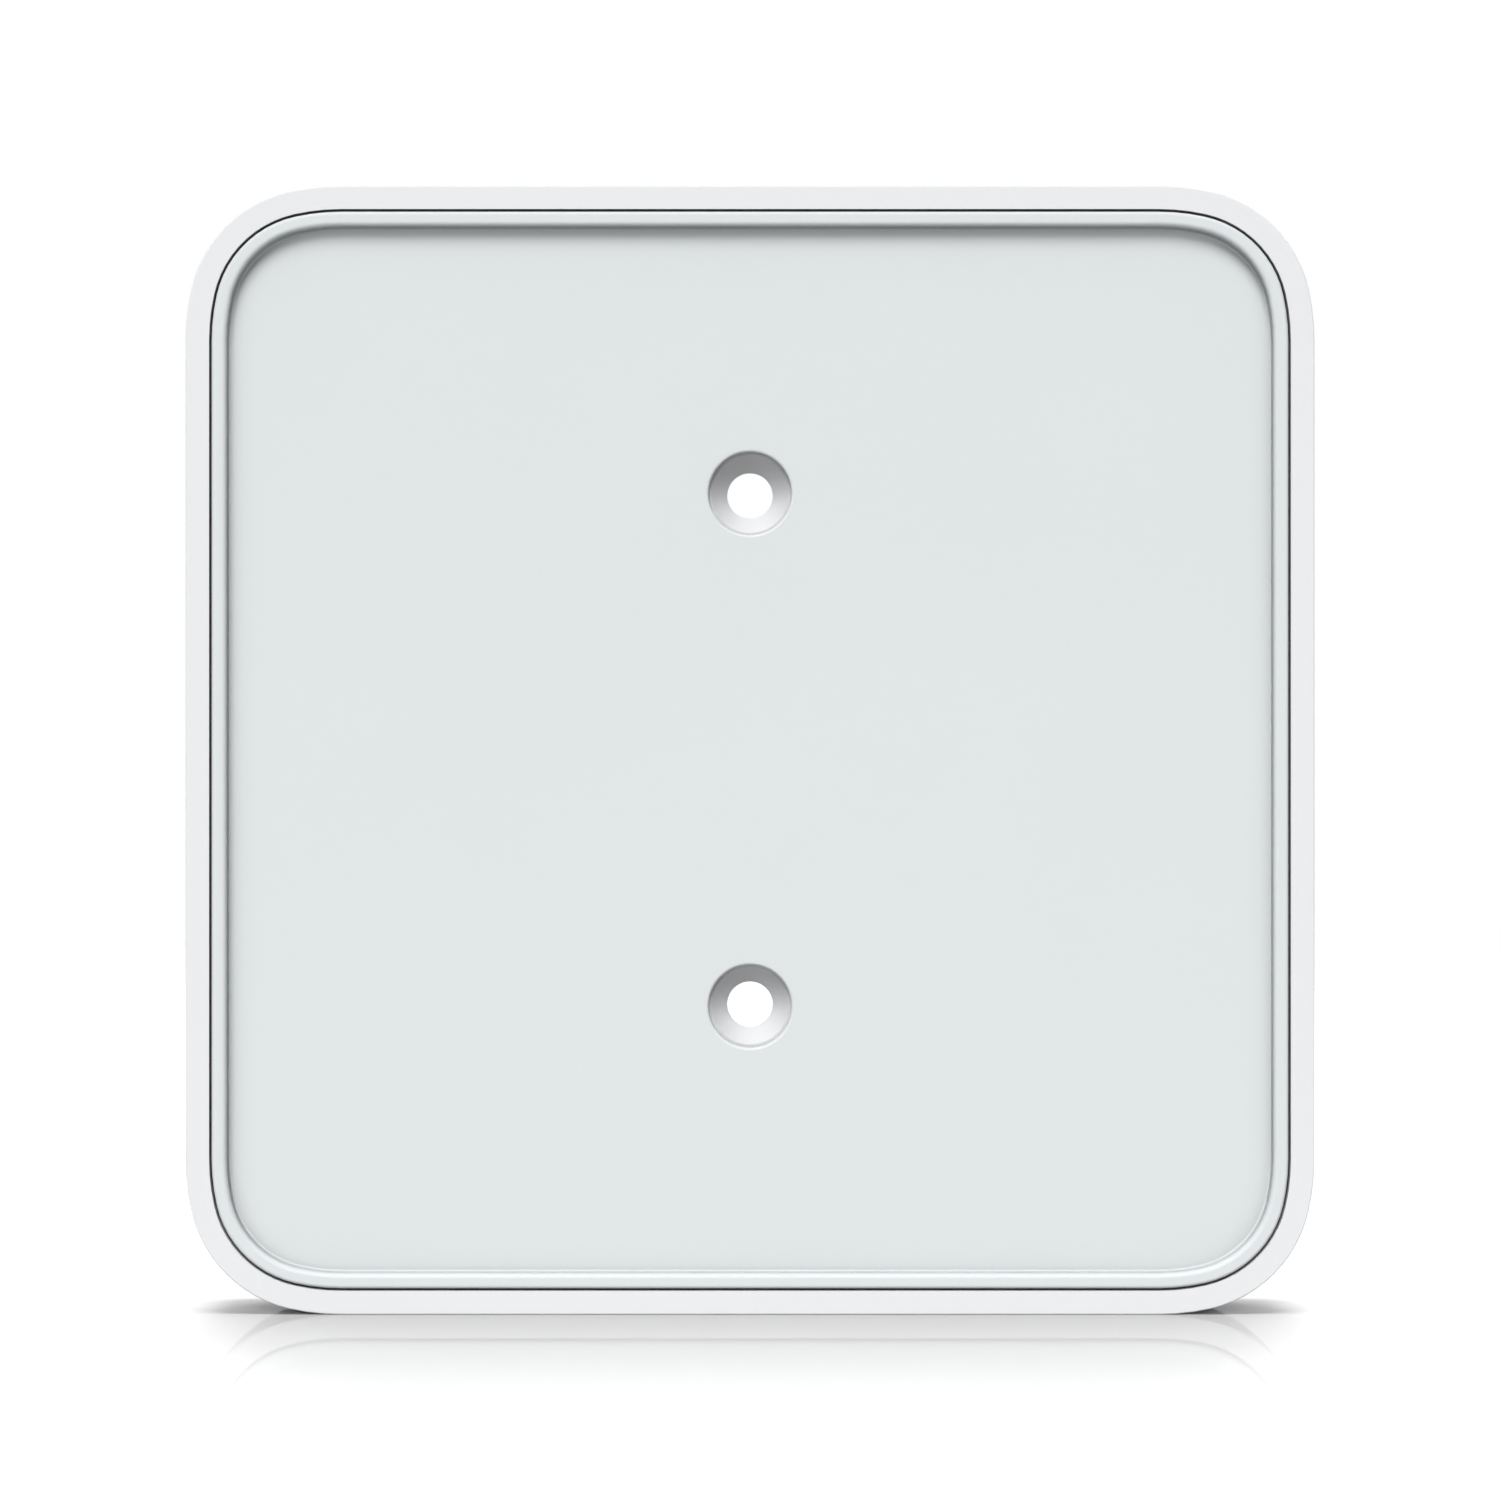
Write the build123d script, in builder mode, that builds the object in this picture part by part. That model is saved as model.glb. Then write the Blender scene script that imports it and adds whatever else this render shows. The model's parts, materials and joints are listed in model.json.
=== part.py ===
from build123d import *
from math import cos, radians, sin
import os

# Mounting base of a ceiling access point, in millimetres. The back lies on the wall plane Y = 0,
# the docking side faces -Y and +Z is up. Every depth is a distance from the wall plane towards
# the front, so a sketch plane is Plane.XZ.offset(depth).

# Plan outline: the centre line of the hair-line gap between rim and tray. A corner is three
# tangent arcs: a wide one, a tight one on the diagonal, and the wide one mirrored.
GAP_HALF = 52.6
GAP_WIDTH = 0.2
WIDE_RADIUS = 20.75
TIGHT_RADIUS = 10.17
WIDE_SWEEP = 12.6

# Base frame
DEPTH = 9.0
OUTER_HALF = 55.0
RIM_INNER_HALF = GAP_HALF + GAP_WIDTH / 2
RIM_EDGE_ROUND = 0.15
SKIRT_BACK_ROUND = 0.4
WEB_BACK = 4.0
WEB_FRONT = 6.0
RIB_THICKNESS = 1.2
RIB_BACK = 1.0
RIB_KEEPER_GAP = 0.5
RIB_PAD_OVERRUN = 2.5
POST_RADIUS = 6.0

# Wall screws: 4.5 mm holes on a vertical line, with slightly dished countersinks
SCREW_SPACING = 50.2
SCREW_HOLE_RADIUS = 2.25
SINK_RADIUS = 3.8
SINK_DEPTH = 1.75
SINK_DISHING = 0.09
HOLE_LAND = 0.5
BOSS_FRONT = 6.65
BOSS_FRONT_RADIUS = 5.5
BOSS_BACK_RADIUS = 6.0
BOSS_CORE_RADIUS = 3.2
SINK_BACK = BOSS_FRONT - SINK_DEPTH
BOSS_CORE_FRONT = SINK_BACK - HOLE_LAND

# Foam gasket in the channel round the back
GASKET_WIDTH = 3.0
GASKET_CLEARANCE = 0.1
GASKET_OUTER_HALF = RIM_INNER_HALF - GASKET_CLEARANCE
GASKET_INNER_HALF = GASKET_OUTER_HALF - GASKET_WIDTH
CHANNEL_HALF = GASKET_INNER_HALF - GASKET_CLEARANCE
CHANNEL_WALL = 1.2
CHANNEL_WALL_BACK = 0.6

# Docking tray, with pockets in its underside for the screw bosses and magnet seats, and the seal in its
# edge groove
TRAY_OUTER_HALF = GAP_HALF - GAP_WIDTH / 2
TRAY_FLOOR_FRONT = 7.6
LIP_INNER_HALF = 51.0
LIP_INNER_ROUND = 0.5
LIP_OUTER_ROUND = 0.35
FLOOR_ROUND = 0.2
TRAY_BACK_CHAMFER = 0.3
TRAY_HOLE_RADIUS = 4.04
TRAY_HOLE_ROUND = 0.3
POCKET_CLEARANCE = 0.3
POCKET_HEADROOM = 0.1
GROOVE_BACK = 7.1
GROOVE_FRONT = 8.3
GROOVE_HALF = 51.9
SEAL_PROUD = 0.13
SEAL_OUTER_HALF = TRAY_OUTER_HALF + SEAL_PROUD

# Magnets: a pair in each corner, set square to the diagonal, in seats that stand on the web
PAIR_REACH = 42.4
MAGNET_SPACING = 22.0
MAGNET_RADIUS = 6.0
MAGNET_BACK = 3.0
MAGNET_FRONT = 6.0
MAGNET_EDGE_ROUND = 0.3
MAGNET_CLEARANCE = 0.05
MAGNET_RING_RADIUS = 7.6
SEAT_RADIUS = 7.2
SEAT_FRONT = 6.5
SEAT_APERTURE_RADIUS = 5.2

# Keepers behind the magnets, each held by two thread-forming pan head screws
KEEPER_THICKNESS = 1.0
KEEPER_WIDTH = 14.0
KEEPER_EDGE_ROUND = 0.2
KEEPER_BACK = MAGNET_BACK - KEEPER_THICKNESS
KEEPER_SCREW_SPACING = 7.0
KEEPER_HOLE_RADIUS = 1.45
KEEPER_BOSS_RADIUS = 2.5
THREAD_RADIUS = 1.25
THREAD_FRONT = 5.4
HEAD_RADIUS = 2.3
HEAD_HEIGHT = 1.3
HEAD_ROUND = 0.5
CROSS_LENGTH = 2.6
CROSS_WIDTH = 0.55
CROSS_DEPTH = 0.8
CROSS_TAPER = 12

# Rubber pads against the wall, one in each corner
PAD_REACH = 57.0
PAD_RADIUS = 4.5
PAD_FRONT = 1.6
PAD_ROUND = 0.3
PAD_CLEARANCE = 0.1
PAD_SEAT_RADIUS = 5.6
PAD_SEAT_BACK = 0.8

CORNERS = {"upper_right": 45, "upper_left": 135, "lower_left": 225, "lower_right": 315}


def corner_point(angle, reach, aside=0.0):
    """Point at a distance from the middle along a diagonal, and aside from it."""
    along = (cos(radians(angle)), sin(radians(angle)))
    return (reach * along[0] - aside * along[1], reach * along[1] + aside * along[0])


def magnet_points(angle):
    """Middles of the two magnets of one corner."""
    return [corner_point(angle, PAIR_REACH, aside * MAGNET_SPACING / 2) for aside in (-1, 1)]


def keeper_screw_points(angle):
    """Middles of the two screws of one keeper."""
    return [corner_point(angle, PAIR_REACH + step * KEEPER_SCREW_SPACING / 2) for step in (-1, 1)]


def outline(half, mode=Mode.ADD):
    """Add the plan outline, offset to the given half width, to the open sketch."""
    wide = WIDE_RADIUS + half - GAP_HALF
    tight = TIGHT_RADIUS + half - GAP_HALF
    shift = WIDE_RADIUS - TIGHT_RADIUS
    wide_middle = GAP_HALF - WIDE_RADIUS
    tight_middle = wide_middle + shift * cos(radians(WIDE_SWEEP))
    straight = tight_middle - shift * sin(radians(WIDE_SWEEP))
    with BuildLine() as edge:
        Line((half, 0), (half, straight))
        CenterArc((wide_middle, straight), wide, 0, WIDE_SWEEP)
        CenterArc((tight_middle, tight_middle), tight, WIDE_SWEEP, 90 - 2 * WIDE_SWEEP)
        CenterArc((straight, wide_middle), wide, 90 - WIDE_SWEEP, WIDE_SWEEP)
        Line((straight, half), (0, half))
        mirror(about=Plane.YZ)
        mirror(about=Plane.XZ)
    make_face(edge.edges(), mode=mode)


def slab(half, back, front, mode=Mode.ADD):
    """A plate of the plan outline between two depths."""
    with BuildSketch(Plane.XZ.offset(back)) as profile:
        outline(half)
    extrude(profile.sketch, amount=front - back, mode=mode)


def ring(outer_half, inner_half, back, front, mode=Mode.ADD):
    """A band between two offsets of the plan outline, between two depths."""
    with BuildSketch(Plane.XZ.offset(back)) as profile:
        outline(outer_half)
        outline(inner_half, Mode.SUBTRACT)
    extrude(profile.sketch, amount=front - back, mode=mode)


def discs(points, radius, back, front, mode=Mode.ADD):
    """Round bosses, or holes with Mode.SUBTRACT, between two depths."""
    with BuildSketch(Plane.XZ.offset(back)) as profile:
        with Locations(*points):
            Circle(radius)
    extrude(profile.sketch, amount=front - back, mode=mode)


def screw_hole(height):
    """Wall screw hole at a height on the middle line: a countersink that dishes in, then a straight bore."""
    start = Vector(-BOSS_FRONT, height + SINK_RADIUS)
    end = Vector(-SINK_BACK, height + SCREW_HOLE_RADIUS)
    chord = (end - start).normalized()
    deepest = (start + end) / 2 + Vector(-chord.Y, chord.X) * SINK_DISHING
    with BuildSketch(Plane.YZ) as profile:
        with BuildLine():
            ThreePointArc(start, deepest, end)
            Polyline(end, (0, height + SCREW_HOLE_RADIUS), (0, height), (-BOSS_FRONT, height), start)
        make_face()
    revolve(profile.sketch, axis=Axis((0, 0, height), (0, 1, 0)), mode=Mode.SUBTRACT)


SCREW_POINTS = [(0, SCREW_SPACING / 2), (0, -SCREW_SPACING / 2)]
MAGNET_POINTS = [point for angle in CORNERS.values() for point in magnet_points(angle)]
KEEPER_SCREW_POINTS = [point for angle in CORNERS.values() for point in keeper_screw_points(angle)]
PAD_POINTS = [corner_point(angle, PAD_REACH) for angle in CORNERS.values()]

os.makedirs("parts", exist_ok=True)

# White moulding: rim, skirt and web in one, with the screw bosses and the magnet seats
with BuildPart() as base_frame:
    ring(OUTER_HALF, RIM_INNER_HALF, 0, DEPTH)
    slab(RIM_INNER_HALF, WEB_BACK, WEB_FRONT)
    ring(CHANNEL_HALF, CHANNEL_HALF - CHANNEL_WALL, CHANNEL_WALL_BACK, WEB_BACK)

    # Upright and level ribs, then the diagonal ones, which stop short of the keepers
    rib_length = 2 * (CHANNEL_HALF - CHANNEL_WALL / 2)
    inner_end = PAIR_REACH - KEEPER_WIDTH / 2 - RIB_KEEPER_GAP
    outer_start = PAIR_REACH + KEEPER_WIDTH / 2 + RIB_KEEPER_GAP
    outer_end = PAD_REACH + PAD_SEAT_RADIUS + RIB_PAD_OVERRUN
    with BuildSketch(Plane.XZ.offset(RIB_BACK)):
        Rectangle(rib_length, RIB_THICKNESS)
        Rectangle(RIB_THICKNESS, rib_length)
        with PolarLocations(inner_end / 2, len(CORNERS), CORNERS["upper_right"]):
            Rectangle(inner_end, RIB_THICKNESS)
        with PolarLocations((outer_start + outer_end) / 2, len(CORNERS), CORNERS["upper_right"]):
            Rectangle(outer_end - outer_start, RIB_THICKNESS)
    extrude(amount=WEB_BACK - RIB_BACK)

    discs([(0, 0)], POST_RADIUS, 0, WEB_BACK)
    discs(SCREW_POINTS, BOSS_BACK_RADIUS, 0, WEB_BACK)
    discs(SCREW_POINTS, BOSS_FRONT_RADIUS, WEB_FRONT, BOSS_FRONT)
    discs(MAGNET_POINTS, MAGNET_RING_RADIUS, MAGNET_BACK, WEB_BACK)
    discs(MAGNET_POINTS, SEAT_RADIUS, WEB_FRONT, SEAT_FRONT)
    discs(KEEPER_SCREW_POINTS, KEEPER_BOSS_RADIUS, MAGNET_BACK, WEB_BACK)
    discs(PAD_POINTS, PAD_SEAT_RADIUS, PAD_SEAT_BACK, WEB_BACK)

    discs(MAGNET_POINTS, MAGNET_RADIUS + MAGNET_CLEARANCE, MAGNET_BACK, MAGNET_FRONT, Mode.SUBTRACT)
    discs(MAGNET_POINTS, SEAT_APERTURE_RADIUS, MAGNET_FRONT, SEAT_FRONT, Mode.SUBTRACT)
    discs(KEEPER_SCREW_POINTS, THREAD_RADIUS, MAGNET_BACK, THREAD_FRONT, Mode.SUBTRACT)
    discs(PAD_POINTS, PAD_RADIUS + PAD_CLEARANCE, PAD_SEAT_BACK, PAD_FRONT, Mode.SUBTRACT)
    discs(SCREW_POINTS, BOSS_CORE_RADIUS, 0, BOSS_CORE_FRONT, Mode.SUBTRACT)
    for side in (1, -1):
        screw_hole(side * SCREW_SPACING / 2)

    rim = base_frame.faces().sort_by(Axis.Y)[0]
    fillet(rim.outer_wire().edges(), RIM_EDGE_ROUND)
    skirt_back = base_frame.faces().filter_by(Plane.XZ).group_by(Axis.Y)[-1].sort_by(SortBy.AREA)[-1]
    fillet(skirt_back.outer_wire().edges(), SKIRT_BACK_ROUND)
base_frame.part.label = "base_frame"
export_step(base_frame.part, "parts/base_frame.step")

# Light grey tray that the access point docks on
with BuildPart() as dock_tray:
    slab(TRAY_OUTER_HALF, WEB_FRONT, DEPTH)
    slab(LIP_INNER_HALF, TRAY_FLOOR_FRONT, DEPTH, Mode.SUBTRACT)
    discs(SCREW_POINTS, TRAY_HOLE_RADIUS, WEB_FRONT, TRAY_FLOOR_FRONT, Mode.SUBTRACT)
    boss_pocket_front = BOSS_FRONT + POCKET_HEADROOM
    discs(SCREW_POINTS, BOSS_FRONT_RADIUS + POCKET_CLEARANCE, WEB_FRONT, boss_pocket_front, Mode.SUBTRACT)
    seat_pocket_front = SEAT_FRONT + POCKET_HEADROOM
    discs(MAGNET_POINTS, SEAT_RADIUS + POCKET_CLEARANCE, WEB_FRONT, seat_pocket_front, Mode.SUBTRACT)

    lip = dock_tray.faces().sort_by(Axis.Y)[0]
    fillet(lip.outer_wire().edges(), LIP_OUTER_ROUND)
    lip = dock_tray.faces().sort_by(Axis.Y)[0]
    fillet(lip.inner_wires()[0].edges(), LIP_INNER_ROUND)
    underside = dock_tray.faces().sort_by(Axis.Y)[-1]
    chamfer(underside.outer_wire().edges(), TRAY_BACK_CHAMFER)
    floor = dock_tray.faces().filter_by_position(Axis.Y, -TRAY_FLOOR_FRONT, -TRAY_FLOOR_FRONT)[0]
    hole_rims = [wire.edges()[0] for wire in floor.inner_wires()]
    fillet(floor.outer_wire().edges(), FLOOR_ROUND)
    fillet(hole_rims, TRAY_HOLE_ROUND)
    ring(OUTER_HALF, GROOVE_HALF, GROOVE_BACK, GROOVE_FRONT, Mode.SUBTRACT)
dock_tray.part.label = "dock_tray"
export_step(dock_tray.part, "parts/dock_tray.step")

# Dark rubber ring that holds the tray by friction and shows in the gap
with BuildPart() as tray_seal:
    ring(SEAL_OUTER_HALF, GROOVE_HALF, GROOVE_BACK, GROOVE_FRONT)
tray_seal.part.label = "tray_seal"
export_step(tray_seal.part, "parts/tray_seal.step")

# Foam cord that takes up an uneven wall
with BuildPart() as wall_gasket:
    ring(GASKET_OUTER_HALF, GASKET_INNER_HALF, 0, WEB_BACK)
wall_gasket.part.label = "wall_gasket"
export_step(wall_gasket.part, "parts/wall_gasket.step")

# In each corner: two magnets, their keeper and a wall pad
for corner, angle in CORNERS.items():
    for point in magnet_points(angle):
        place = "end" if abs(point[1]) > abs(point[0]) else "side"
        with BuildPart() as magnet:
            discs([point], MAGNET_RADIUS, MAGNET_BACK, MAGNET_FRONT)
            fillet(magnet.edges().filter_by(GeomType.CIRCLE), MAGNET_EDGE_ROUND)
        magnet.part.label = f"magnet_{corner}_{place}"
        export_step(magnet.part, f"parts/{magnet.part.label}.step")

    with BuildPart() as keeper:
        with BuildSketch(Plane.XZ.offset(KEEPER_BACK)):
            with Locations(corner_point(angle, PAIR_REACH)):
                SlotOverall(MAGNET_SPACING + KEEPER_WIDTH, KEEPER_WIDTH, rotation=angle + 90)
            with Locations(*keeper_screw_points(angle)):
                Circle(KEEPER_HOLE_RADIUS, mode=Mode.SUBTRACT)
        extrude(amount=KEEPER_THICKNESS)
        fillet(keeper.faces().sort_by(Axis.Y)[-1].outer_wire().edges(), KEEPER_EDGE_ROUND)
    keeper.part.label = f"keeper_{corner}"
    export_step(keeper.part, f"parts/{keeper.part.label}.step")

    with BuildPart() as wall_pad:
        discs([corner_point(angle, PAD_REACH)], PAD_RADIUS, 0, PAD_FRONT)
        fillet(wall_pad.faces().sort_by(Axis.Y)[-1].edges(), PAD_ROUND)
    wall_pad.part.label = f"wall_pad_{corner}"
    export_step(wall_pad.part, f"parts/{wall_pad.part.label}.step")

# Eight alike pan head screws
with BuildPart() as keeper_screws:
    head_back = KEEPER_BACK - HEAD_HEIGHT
    discs(KEEPER_SCREW_POINTS, HEAD_RADIUS, head_back, KEEPER_BACK)
    fillet(keeper_screws.faces().filter_by(Plane.XZ).group_by(Axis.Y)[-1].edges(), HEAD_ROUND)
    discs(KEEPER_SCREW_POINTS, THREAD_RADIUS, KEEPER_BACK, THREAD_FRONT)
    with BuildSketch(Plane.XZ.offset(head_back)):
        with Locations(*KEEPER_SCREW_POINTS):
            Rectangle(CROSS_LENGTH, CROSS_WIDTH)
            Rectangle(CROSS_WIDTH, CROSS_LENGTH)
    extrude(amount=CROSS_DEPTH, taper=CROSS_TAPER, mode=Mode.SUBTRACT)
keeper_screws.part.label = "keeper_screws"
export_step(keeper_screws.part, "parts/keeper_screws.step")
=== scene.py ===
import json
import math

import bmesh
import bpy
from mathutils import Matrix, Vector, noise as hash_noise


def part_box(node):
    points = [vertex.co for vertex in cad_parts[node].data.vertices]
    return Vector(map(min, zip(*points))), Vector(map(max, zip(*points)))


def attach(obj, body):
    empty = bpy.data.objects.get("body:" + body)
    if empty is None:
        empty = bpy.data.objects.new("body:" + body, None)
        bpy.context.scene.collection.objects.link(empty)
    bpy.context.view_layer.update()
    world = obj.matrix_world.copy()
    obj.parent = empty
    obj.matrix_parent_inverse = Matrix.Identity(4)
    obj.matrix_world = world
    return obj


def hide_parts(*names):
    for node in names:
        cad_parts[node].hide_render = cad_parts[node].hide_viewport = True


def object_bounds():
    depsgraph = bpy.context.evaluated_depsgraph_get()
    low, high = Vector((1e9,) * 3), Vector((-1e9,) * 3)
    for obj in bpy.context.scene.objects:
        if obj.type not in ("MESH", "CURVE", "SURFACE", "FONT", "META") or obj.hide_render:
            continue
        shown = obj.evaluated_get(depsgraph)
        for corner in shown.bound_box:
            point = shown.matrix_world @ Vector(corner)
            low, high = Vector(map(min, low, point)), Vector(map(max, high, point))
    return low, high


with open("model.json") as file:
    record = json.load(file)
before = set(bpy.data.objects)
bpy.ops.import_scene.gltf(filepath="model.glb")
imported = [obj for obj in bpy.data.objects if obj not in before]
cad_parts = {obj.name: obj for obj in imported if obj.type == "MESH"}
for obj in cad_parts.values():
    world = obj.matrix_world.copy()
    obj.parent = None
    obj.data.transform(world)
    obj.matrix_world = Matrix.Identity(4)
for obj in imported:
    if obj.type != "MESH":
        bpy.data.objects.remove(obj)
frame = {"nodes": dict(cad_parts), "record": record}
cad_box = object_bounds()
MM = 0.001

# Object size, from the frame
low, high = cad_box
WIDTH = high.x - low.x
FRONT_Y = low.y
BASE_Z = low.z

# Plan outline of the base, in metres: the gap's centre line, and the arcs of one corner
GAP_HALF = 52.6 * MM
WIDE_RADIUS = 20.75 * MM
TIGHT_RADIUS = 10.17 * MM
WIDE_SWEEP = 12.6

# Foam gasket: its width and corners, the spacing of its points, its cells, and the butt joint of its ends
GASKET_WIDTH = 3.0 * MM
GASKET_CORNER = 0.45 * MM
GASKET_STEP = 0.3 * MM
GASKET_SECTION_STEP = 0.28 * MM
CELL_SIZE = 0.55 * MM
CELL_DEPTH = 0.16 * MM
FINE_CELL_RATE = 2.3
FINE_CELL_SHARE = 0.5
OPEN_CELL_BIAS = 0.15
JOINT_GAP = 0.12 * MM

# Rubber wall pads: round edge, and the grip rings moulded in the face
PAD_EDGE = 0.35 * MM
PAD_GROOVES = 3
PAD_GROOVE_DEPTH = 0.22 * MM
PAD_GATE_RADIUS = 0.8 * MM
PAD_GATE_DEPTH = 0.18 * MM
PAD_RINGS = 64
PAD_SEGMENTS = 96
PAD_SHARP_ANGLE = 50

# Materials: flow marks and sheen of the plastics, clouds and brush lines of the plated metals
FLOW_MARK_MM = 18.0
PLASTIC_IOR = 1.49
PLASTIC_SHEEN = 0.2
PLATING_CLOUD_MM = 6.0
BRUSH_STRETCH = 0.04
BRUSH_DEPTH_MM = 0.003

# Camera: level with the middle of the object and square to it
CAMERA_DISTANCE = 300 * MM
VIEW_WIDTH = 146.1 * MM
SENSOR = 36.0

# Light on the object: far soft boxes, each with its height and its swing to the left in degrees from the
# docking side's axis, its spread, and its strength as irradiance over pi
SOFT_BOXES = {
    "key": (47, 5, 34, 0.80),
    "high_left": (66, 45, 40, 0.21),
    "left_fill": (1, 40, 50, 0.27),
    "right_fill": (1, -40, 50, 0.17),
    "low_fill": (-60, -30, 60, 0.12),
}
# The same for the back: matt light alone, as the white surroundings are what its metal parts mirror
REAR_BOXES = {
    "rear_key": (155, 20, 50, 0.65),
    "rear_left": (178, 40, 50, 0.20),
    "rear_right": (178, -40, 50, 0.20),
}
# Light on the floor alone, in the same terms: from above, from the surroundings behind, and from in front
FLOOR_BOXES = {
    "overhead": (91, 0, 40, 1.1),
    "surroundings": (150, 0, 60, 1.1),
    "front": (28, 0, 40, 0.27),
    "front_left": (25, 70, 40, 0.14),
    "front_right": (25, -70, 40, 0.14),
}

# Strip light below the floor: its size, its distance in front of the wall plane, and its aim
BOUNCE_POWER = 0.006
BOUNCE_WIDTH = 1.5 * WIDTH
BOUNCE_HEIGHT = WIDTH / 4
BOUNCE_DISTANCE = 0.8 * WIDTH
BOUNCE_AIM = (0, -1, -0.7)

# Floor: it fades into the white surroundings between two distances from the object
FLOOR_NEAR = 300 * MM
FLOOR_FAR = 600 * MM
FLOOR_TONE = 0.8
FLOOR_IOR = 1.1
FLOOR_RIPPLE_MM = 6.0


# ---------------------------------------------------------------- node helpers

def new_material(name):
    """A material with its node tree emptied down to an output, and the shader that feeds it."""
    material = bpy.data.materials.new(name)
    material.use_nodes = True
    nodes = material.node_tree.nodes
    nodes.clear()
    output = nodes.new("ShaderNodeOutputMaterial")
    shader = nodes.new("ShaderNodeBsdfPrincipled")
    material.node_tree.links.new(shader.outputs["BSDF"], output.inputs["Surface"])
    return material, shader


def add(material, kind, **values):
    """A new node, with its properties or its input values set by name."""
    node = material.node_tree.nodes.new(kind)
    for key, value in values.items():
        if key in node.inputs:
            node.inputs[key].default_value = value
        else:
            setattr(node, key, value)
    return node


def link(material, source, target):
    """Join an output socket to an input socket."""
    material.node_tree.links.new(source, target)


def millimetres(material):
    """Object coordinates, in millimetres."""
    place = add(material, "ShaderNodeTexCoord")
    scale = add(material, "ShaderNodeMapping")
    scale.inputs["Scale"].default_value = (1000, 1000, 1000)
    link(material, place.outputs["Object"], scale.inputs["Vector"])
    return scale.outputs["Vector"]


def noise(material, where, size_mm, detail=2.0, roughness=0.5):
    """Noise with features of about size_mm, from 0 to 1."""
    node = add(material, "ShaderNodeTexNoise", Scale=1 / size_mm, Detail=detail, Roughness=roughness)
    link(material, where, node.inputs["Vector"])
    return node.outputs["Fac"]


def span(material, source, low_out, high_out, low_in=0.3, high_in=0.7):
    """A 0 to 1 value spread over another range."""
    node = add(material, "ShaderNodeMapRange")
    node.inputs["From Min"].default_value = low_in
    node.inputs["From Max"].default_value = high_in
    node.inputs["To Min"].default_value = low_out
    node.inputs["To Max"].default_value = high_out
    link(material, source, node.inputs["Value"])
    return node.outputs["Result"]


def tinted(material, colour, amount):
    """The colour times a brightness that a value sets."""
    mix = add(material, "ShaderNodeMix", data_type="RGBA", blend_type="MULTIPLY")
    mix.inputs["Factor"].default_value = 1.0
    mix.inputs["A"].default_value = (*colour, 1)
    link(material, amount, mix.inputs["B"])
    return mix.outputs["Result"]


def bumped(material, shader, height, depth_mm):
    """Relief of the given depth on the shader's surface."""
    bump = add(material, "ShaderNodeBump", Strength=1.0)
    bump.inputs["Distance"].default_value = depth_mm * MM
    link(material, height, bump.inputs["Height"])
    link(material, bump.outputs["Normal"], shader.inputs["Normal"])


# ---------------------------------------------------------------- materials

def moulded_plastic(name, colour, roughness, grain_mm, grain_depth_mm):
    """Satin moulded plastic: a fine spark-eroded grain in gloss and relief, and slight flow marks in tone.
    """
    material, shader = new_material(name)
    where = millimetres(material)
    flow = noise(material, where, FLOW_MARK_MM, 3.0)
    grain = noise(material, where, grain_mm, 3.0, 0.6)
    link(material, tinted(material, colour, span(material, flow, 0.992, 1.0)), shader.inputs["Base Color"])
    link(material, span(material, grain, roughness - 0.05, roughness + 0.05), shader.inputs["Roughness"])
    shader.inputs["IOR"].default_value = PLASTIC_IOR
    shader.inputs["Specular IOR Level"].default_value = PLASTIC_SHEEN
    bumped(material, shader, grain, grain_depth_mm)
    return material


def moulded_rubber(name, colour, grain_mm, grain_depth_mm):
    """Matt rubber or foam: a grain in tone, in gloss and in relief."""
    material, shader = new_material(name)
    where = millimetres(material)
    grain = noise(material, where, grain_mm, 4.0, 0.65)
    link(material, tinted(material, colour, span(material, grain, 0.75, 1.15)), shader.inputs["Base Color"])
    link(material, span(material, grain, 0.62, 0.85), shader.inputs["Roughness"])
    bumped(material, shader, grain, grain_depth_mm)
    return material


def plated_metal(name, colour, roughness, streak_mm):
    """Plated steel or nickel: fine brush lines one way, and faint clouds in the plating."""
    material, shader = new_material(name)
    where = millimetres(material)
    cloud = noise(material, where, PLATING_CLOUD_MM)
    stretched = add(material, "ShaderNodeMapping")
    stretched.inputs["Scale"].default_value = (BRUSH_STRETCH / streak_mm, 1 / streak_mm, 1 / streak_mm)
    link(material, where, stretched.inputs["Vector"])
    brush = noise(material, stretched.outputs["Vector"], 1.0, 4.0, 0.6)
    tone = add(material, "ShaderNodeMath", operation="MULTIPLY")
    link(material, span(material, cloud, 0.88, 1.0), tone.inputs[0])
    link(material, span(material, brush, 0.8, 1.0), tone.inputs[1])
    shader.inputs["Metallic"].default_value = 1.0
    link(material, tinted(material, colour, tone.outputs["Value"]), shader.inputs["Base Color"])
    link(material, span(material, brush, roughness - 0.06, roughness + 0.08), shader.inputs["Roughness"])
    bumped(material, shader, brush, BRUSH_DEPTH_MM)
    return material


# Name and colour, and then the roughness of plastic and metal, and the grain's size and depth or the brush
# lines' spacing in millimetres
SLOT_MATERIALS = {
    "white_plastic": moulded_plastic("white_plastic", (0.82, 0.828, 0.842), 0.46, 0.22, 0.004),
    "grey_plastic": moulded_plastic("grey_plastic", (0.735, 0.768, 0.778), 0.48, 0.22, 0.004),
    "black_rubber": moulded_rubber("black_rubber", (0.012, 0.012, 0.013), 0.2, 0.01),
    "grey_foam": moulded_rubber("grey_foam", (0.09, 0.09, 0.095), 0.35, 0.12),
    "pad_rubber": moulded_rubber("pad_rubber", (0.16, 0.165, 0.17), 0.25, 0.02),
    "magnet_nickel": plated_metal("magnet_nickel", (0.62, 0.60, 0.56), 0.18, 0.25),
    "keeper_steel": plated_metal("keeper_steel", (0.46, 0.47, 0.49), 0.32, 0.12),
    "screw_steel": plated_metal("screw_steel", (0.36, 0.36, 0.37), 0.26, 0.1),
}

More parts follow.
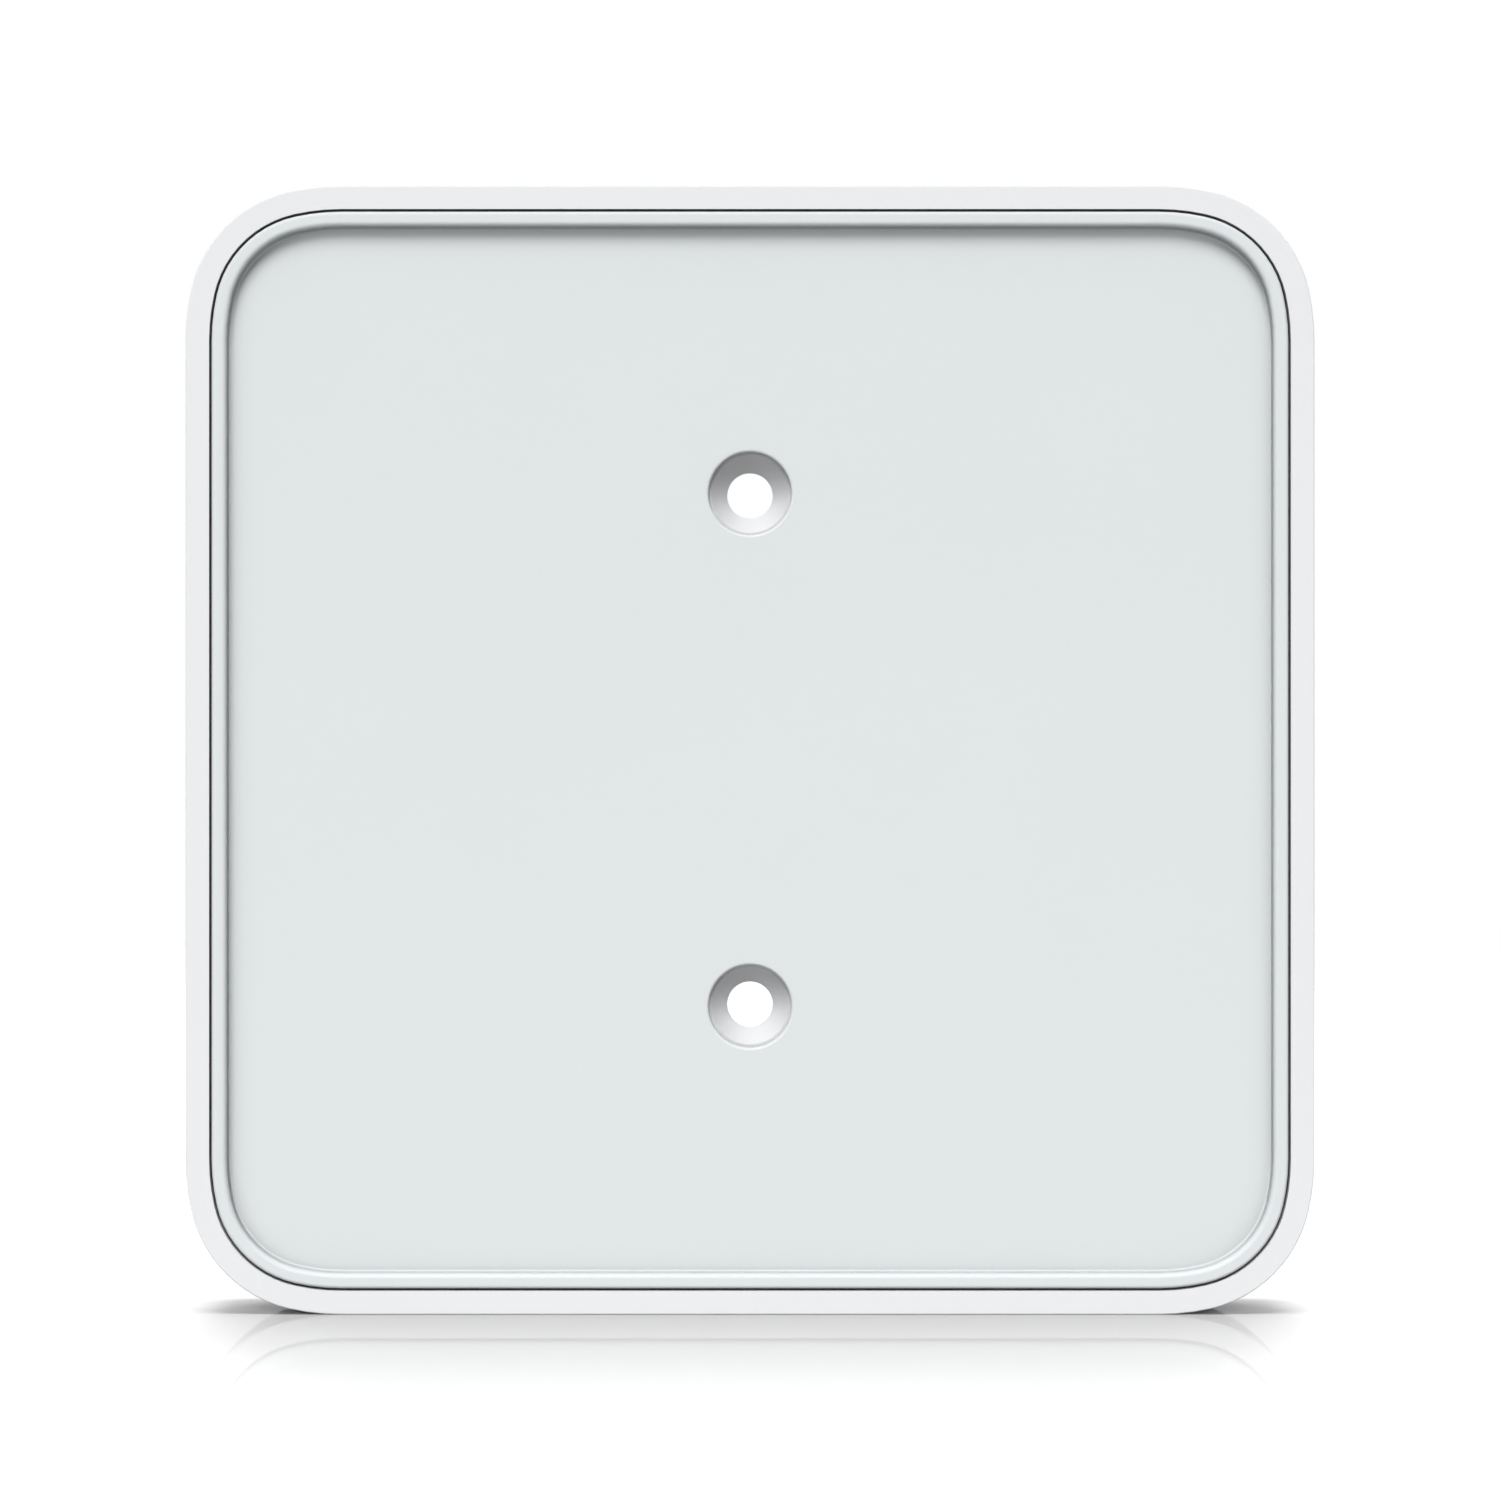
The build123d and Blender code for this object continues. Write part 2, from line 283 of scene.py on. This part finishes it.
for subpart in frame["record"]["subparts"]:
    node = frame["nodes"][subpart["node"]]
    node.data.materials.clear()
    node.data.materials.append(SLOT_MATERIALS[subpart["material_slot"]])


# ---------------------------------------------------------------- soft pieces

def soft_piece(name, mesh, body, slot, node):
    """A detailed foam or rubber piece in place of its plain CAD solid."""
    mesh.materials.append(SLOT_MATERIALS[slot])
    mesh.shade_smooth()
    piece = bpy.data.objects.new(name, mesh)
    bpy.context.scene.collection.objects.link(piece)
    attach(piece, body)
    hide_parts(node)
    return piece


def corner_arc(half, angle):
    """Point of the plan outline where it faces the given angle, from 0 to 90 degrees."""
    wide = WIDE_RADIUS + half - GAP_HALF
    tight = TIGHT_RADIUS + half - GAP_HALF
    shift = WIDE_RADIUS - TIGHT_RADIUS
    sweep = math.radians(WIDE_SWEEP)
    far = GAP_HALF - WIDE_RADIUS
    middle = far + shift * math.cos(sweep)
    near = middle - shift * math.sin(sweep)
    if angle < sweep:
        centre, radius = Vector((far, near)), wide
    elif angle > math.pi / 2 - sweep:
        centre, radius = Vector((near, far)), wide
    else:
        centre, radius = Vector((middle, middle)), tight
    return centre + radius * Vector((math.cos(angle), math.sin(angle)))


def outline_route(half, step):
    """Places round the plan outline at about the given step, each with the way it faces. It starts at the
    bottom middle and goes round anticlockwise as seen from the front."""
    start = corner_arc(half, 0)
    side_count = round(start.y / step)
    side = [(Vector((half, start.y * i / side_count)), 0.0) for i in range(-side_count, side_count)]
    sweep_count = round(math.pi / 2 * TIGHT_RADIUS / step)
    angles = [math.pi / 2 * i / sweep_count for i in range(sweep_count)]
    quarter = side + [(corner_arc(half, angle), angle) for angle in angles]
    route = []
    for turn in range(4):
        back = Matrix.Rotation(turn * math.pi / 2, 2)
        route += [(back @ point, angle + turn * math.pi / 2) for point, angle in quarter]
    first = min(range(len(route)), key=lambda i: (route[i][0] - Vector((0, -half))).length)
    return route[first:] + route[:first] + [route[first]]


def rounded_section(half_width, half_height, corner, step):
    """Points of a rectangle with round corners, anticlockwise, at about the given step."""
    points = []
    for turn in range(4):
        across, up = (half_width, half_height) if turn % 2 == 0 else (half_height, half_width)
        back = Matrix.Rotation(turn * math.pi / 2, 2)
        count = max(2, round(2 * (up - corner) / step))
        for i in range(count):
            points.append(back @ Vector((across, (up - corner) * (2 * i / count - 1))))
        bend = max(2, round(corner * math.pi / 2 / step))
        for i in range(bend):
            angle = math.pi / 2 * i / bend
            middle = Vector((across - corner, up - corner))
            points.append(back @ (middle + corner * Vector((math.cos(angle), math.sin(angle)))))
    return points


def make_gasket():
    """Foam cord round the back: an open-celled skin, and a butt joint at the bottom where its ends meet."""
    low_corner, high_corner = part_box("wall_gasket")
    depth = high_corner.y - low_corner.y
    middle_half = high_corner.x - GASKET_WIDTH / 2
    middle_y = (low_corner.y + high_corner.y) / 2
    route = outline_route(middle_half, GASKET_STEP)
    section = rounded_section(GASKET_WIDTH / 2, depth / 2, GASKET_CORNER, GASKET_SECTION_STEP)
    mesh = bmesh.new()
    rows = []
    for number, (point, angle) in enumerate(route):
        out = Vector((math.cos(angle), math.sin(angle)))
        tangent = Vector((-out.y, out.x))
        ends = {0: JOINT_GAP / 2, len(route) - 1: -JOINT_GAP / 2}
        point = point + tangent * ends.get(number, 0)
        row = []
        for offset in section:
            place = Vector((point.x + out.x * offset.x, middle_y + offset.y, point.y + out.y * offset.x))
            coarse = hash_noise.noise(place / CELL_SIZE)
            fine = hash_noise.noise(place * FINE_CELL_RATE / CELL_SIZE)
            sink = CELL_DEPTH * min(1, max(0, coarse + FINE_CELL_SHARE * fine + OPEN_CELL_BIAS))
            towards = Vector((-out.x * offset.x, -offset.y, -out.y * offset.x)).normalized()
            row.append(mesh.verts.new(place + towards * sink))
        rows.append(row)
    count = len(section)
    for first, second in zip(rows, rows[1:]):
        for i in range(count):
            mesh.faces.new((first[i], second[i], second[(i + 1) % count], first[(i + 1) % count]))
    mesh.faces.new(rows[0])
    mesh.faces.new(reversed(rows[-1]))
    bmesh.ops.recalc_face_normals(mesh, faces=mesh.faces)
    data = bpy.data.meshes.new("wall_gasket_foam")
    mesh.to_mesh(data)
    mesh.free()
    return soft_piece("wall_gasket_foam", data, "base", "grey_foam", "wall_gasket")


def pad_face(radius, distance):
    """Depth of the pad's face below its highest ring, at a distance from its middle."""
    flat = radius - PAD_EDGE
    if distance > flat:
        return PAD_EDGE - math.sqrt(max(0, PAD_EDGE ** 2 - (distance - flat) ** 2))
    if distance < PAD_GATE_RADIUS:
        return PAD_GATE_DEPTH * (1 - (distance / PAD_GATE_RADIUS) ** 4)
    wave = math.cos(2 * math.pi * PAD_GROOVES * (distance - PAD_GATE_RADIUS) / (flat - PAD_GATE_RADIUS))
    return PAD_GROOVE_DEPTH * ((1 - wave) / 2) ** 2


def make_pad(corner):
    """Moulded rubber pad: round edge, three grip rings in the face and the gate's dimple in the middle."""
    node = f"wall_pad_{corner}"
    low_corner, high_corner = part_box(node)
    middle = (low_corner + high_corner) / 2
    radius = (high_corner.x - low_corner.x) / 2
    distances = [radius * i / PAD_RINGS for i in range(PAD_RINGS + 1)]
    profile = [(distance, high_corner.y - pad_face(radius, distance)) for distance in distances]
    profile += [(radius, low_corner.y), (0, low_corner.y)]
    mesh = bmesh.new()
    rows = []
    for distance, y in profile:
        if distance == 0:
            rows.append([mesh.verts.new((middle.x, y, middle.z))])
            continue
        angles = [2 * math.pi * i / PAD_SEGMENTS for i in range(PAD_SEGMENTS)]
        spokes = [(distance * math.cos(angle), distance * math.sin(angle)) for angle in angles]
        rows.append([mesh.verts.new((middle.x + across, y, middle.z + up)) for across, up in spokes])
    for first, second in zip(rows, rows[1:]):
        for i in range(PAD_SEGMENTS):
            j = (i + 1) % PAD_SEGMENTS
            inner = [first[i % len(first)], first[j % len(first)]]
            outer = [second[j % len(second)], second[i % len(second)]]
            mesh.faces.new(list(dict.fromkeys(inner + outer)))
    bmesh.ops.recalc_face_normals(mesh, faces=mesh.faces)
    data = bpy.data.meshes.new(f"{node}_rubber")
    mesh.to_mesh(data)
    mesh.free()
    piece = soft_piece(f"{node}_rubber", data, "base", "pad_rubber", node)
    data.set_sharp_from_angle(angle=math.radians(PAD_SHARP_ANGLE))
    return piece


make_gasket()
for corner in ("upper_right", "upper_left", "lower_left", "lower_right"):
    make_pad(corner)


# ---------------------------------------------------------------- floor, light, camera

def floor_material():
    """Glossy white studio floor that fades out with distance. Its underside is clear, to hide nothing."""
    material, shader = new_material("studio_floor")
    shader.inputs["Base Color"].default_value = (FLOOR_TONE, FLOOR_TONE, FLOOR_TONE, 1)
    shader.inputs["IOR"].default_value = FLOOR_IOR
    where = millimetres(material)
    ripple = noise(material, where, FLOOR_RIPPLE_MM)
    link(material, span(material, ripple, 0.035, 0.055), shader.inputs["Roughness"])
    distance = add(material, "ShaderNodeVectorMath", operation="LENGTH")
    link(material, where, distance.inputs[0])
    far = span(material, distance.outputs["Value"], 0, 1, FLOOR_NEAR / MM, FLOOR_FAR / MM)
    side = add(material, "ShaderNodeNewGeometry")
    unseen = add(material, "ShaderNodeMath", operation="MAXIMUM")
    link(material, far, unseen.inputs[0])
    link(material, side.outputs["Backfacing"], unseen.inputs[1])
    clear = add(material, "ShaderNodeBsdfTransparent")
    mix = add(material, "ShaderNodeMixShader")
    link(material, unseen.outputs["Value"], mix.inputs["Fac"])
    link(material, shader.outputs["BSDF"], mix.inputs[1])
    link(material, clear.outputs["BSDF"], mix.inputs[2])
    output = next(n for n in material.node_tree.nodes if n.type == "OUTPUT_MATERIAL")
    link(material, mix.outputs["Shader"], output.inputs["Surface"])
    return material


def make_floor():
    mesh = bpy.data.meshes.new("floor")
    signs = ((-1, -1), (1, -1), (1, 1), (-1, 1))
    mesh.from_pydata([(x * FLOOR_FAR, y * FLOOR_FAR, BASE_Z) for x, y in signs], [], [(0, 1, 2, 3)])
    floor = bpy.data.objects.new("floor", mesh)
    bpy.context.scene.collection.objects.link(floor)
    mesh.materials.append(floor_material())
    floor.visible_diffuse = False
    floor.visible_shadow = False
    return floor


def direction(up, left):
    """Unit vector towards a light, from two angles off the docking side's axis."""
    up, left = math.radians(up), math.radians(left)
    return Vector((-math.sin(left) * math.cos(up), -math.cos(left) * math.cos(up), math.sin(up)))


def lit_objects(floor, state):
    """A set of light receivers: all but the floor, or the floor alone."""
    receivers = bpy.data.collections.new(f"receivers_{state.lower()}")
    receivers.objects.link(floor)
    receivers.collection_objects[0].light_linking.link_state = state
    return receivers


def soft_sun(name, up, left, spread, strength, receivers):
    """A far soft box: even light from a round patch of the given spread."""
    data = bpy.data.lights.new(name, "SUN")
    data.angle = math.radians(spread)
    data.energy = strength * math.pi
    light = bpy.data.objects.new(name, data)
    bpy.context.scene.collection.objects.link(light)
    light.rotation_mode = "QUATERNION"
    light.rotation_quaternion = direction(up, left).to_track_quat("Z", "Y")
    light.light_linking.receiver_collection = receivers
    return light


def low_bounce(receivers):
    """A weak strip light below the floor, for the lift that a bright floor gives the lower half."""
    data = bpy.data.lights.new("low_bounce", "AREA")
    data.shape = "RECTANGLE"
    data.size = BOUNCE_WIDTH
    data.size_y = BOUNCE_HEIGHT
    data.energy = BOUNCE_POWER
    light = bpy.data.objects.new("low_bounce", data)
    bpy.context.scene.collection.objects.link(light)
    light.location = (0, -BOUNCE_DISTANCE, BASE_Z - BOUNCE_HEIGHT)
    light.rotation_mode = "QUATERNION"
    light.rotation_quaternion = Vector(BOUNCE_AIM).to_track_quat("Z", "Y")
    light.visible_camera = False
    light.visible_glossy = False
    light.light_linking.receiver_collection = receivers


def make_world():
    """White to the camera and in reflections, and dark to matt surfaces, which the soft boxes light."""
    world = bpy.data.worlds.new("studio")
    bpy.context.scene.world = world
    world.use_nodes = True
    nodes, links = world.node_tree.nodes, world.node_tree.links
    nodes.clear()
    output = nodes.new("ShaderNodeOutputWorld")
    dark = nodes.new("ShaderNodeBackground")
    dark.inputs["Strength"].default_value = 0
    white = nodes.new("ShaderNodeBackground")
    path = nodes.new("ShaderNodeLightPath")
    either = nodes.new("ShaderNodeMath")
    either.operation = "MAXIMUM"
    mix = nodes.new("ShaderNodeMixShader")
    links.new(path.outputs["Is Camera Ray"], either.inputs[0])
    links.new(path.outputs["Is Glossy Ray"], either.inputs[1])
    links.new(either.outputs["Value"], mix.inputs["Fac"])
    links.new(dark.outputs["Background"], mix.inputs[1])
    links.new(white.outputs["Background"], mix.inputs[2])
    links.new(mix.outputs["Shader"], output.inputs["Surface"])
    for node in (dark, white):
        node.inputs["Color"].default_value = (1, 1, 1, 1)


def make_camera():
    data = bpy.data.cameras.new("camera")
    data.sensor_width = SENSOR
    data.lens = SENSOR * CAMERA_DISTANCE / VIEW_WIDTH
    camera = bpy.data.objects.new("camera", data)
    bpy.context.scene.collection.objects.link(camera)
    camera.location = (0, FRONT_Y - CAMERA_DISTANCE, (low.z + high.z) / 2)
    camera.rotation_euler = (math.radians(90), 0, 0)
    bpy.context.scene.camera = camera


make_camera()
make_world()
floor = make_floor()
object_only = lit_objects(floor, "EXCLUDE")
for name, box in SOFT_BOXES.items():
    soft_sun(name, *box, object_only)
for name, box in REAR_BOXES.items():
    soft_sun(name, *box, object_only).visible_glossy = False
low_bounce(object_only)
floor_only = lit_objects(floor, "INCLUDE")
for name, box in FLOOR_BOXES.items():
    soft_sun(name, *box, floor_only).visible_glossy = False
bpy.context.scene.cycles.diffuse_bounces = 0
bpy.context.scene.view_settings.view_transform = "Standard"
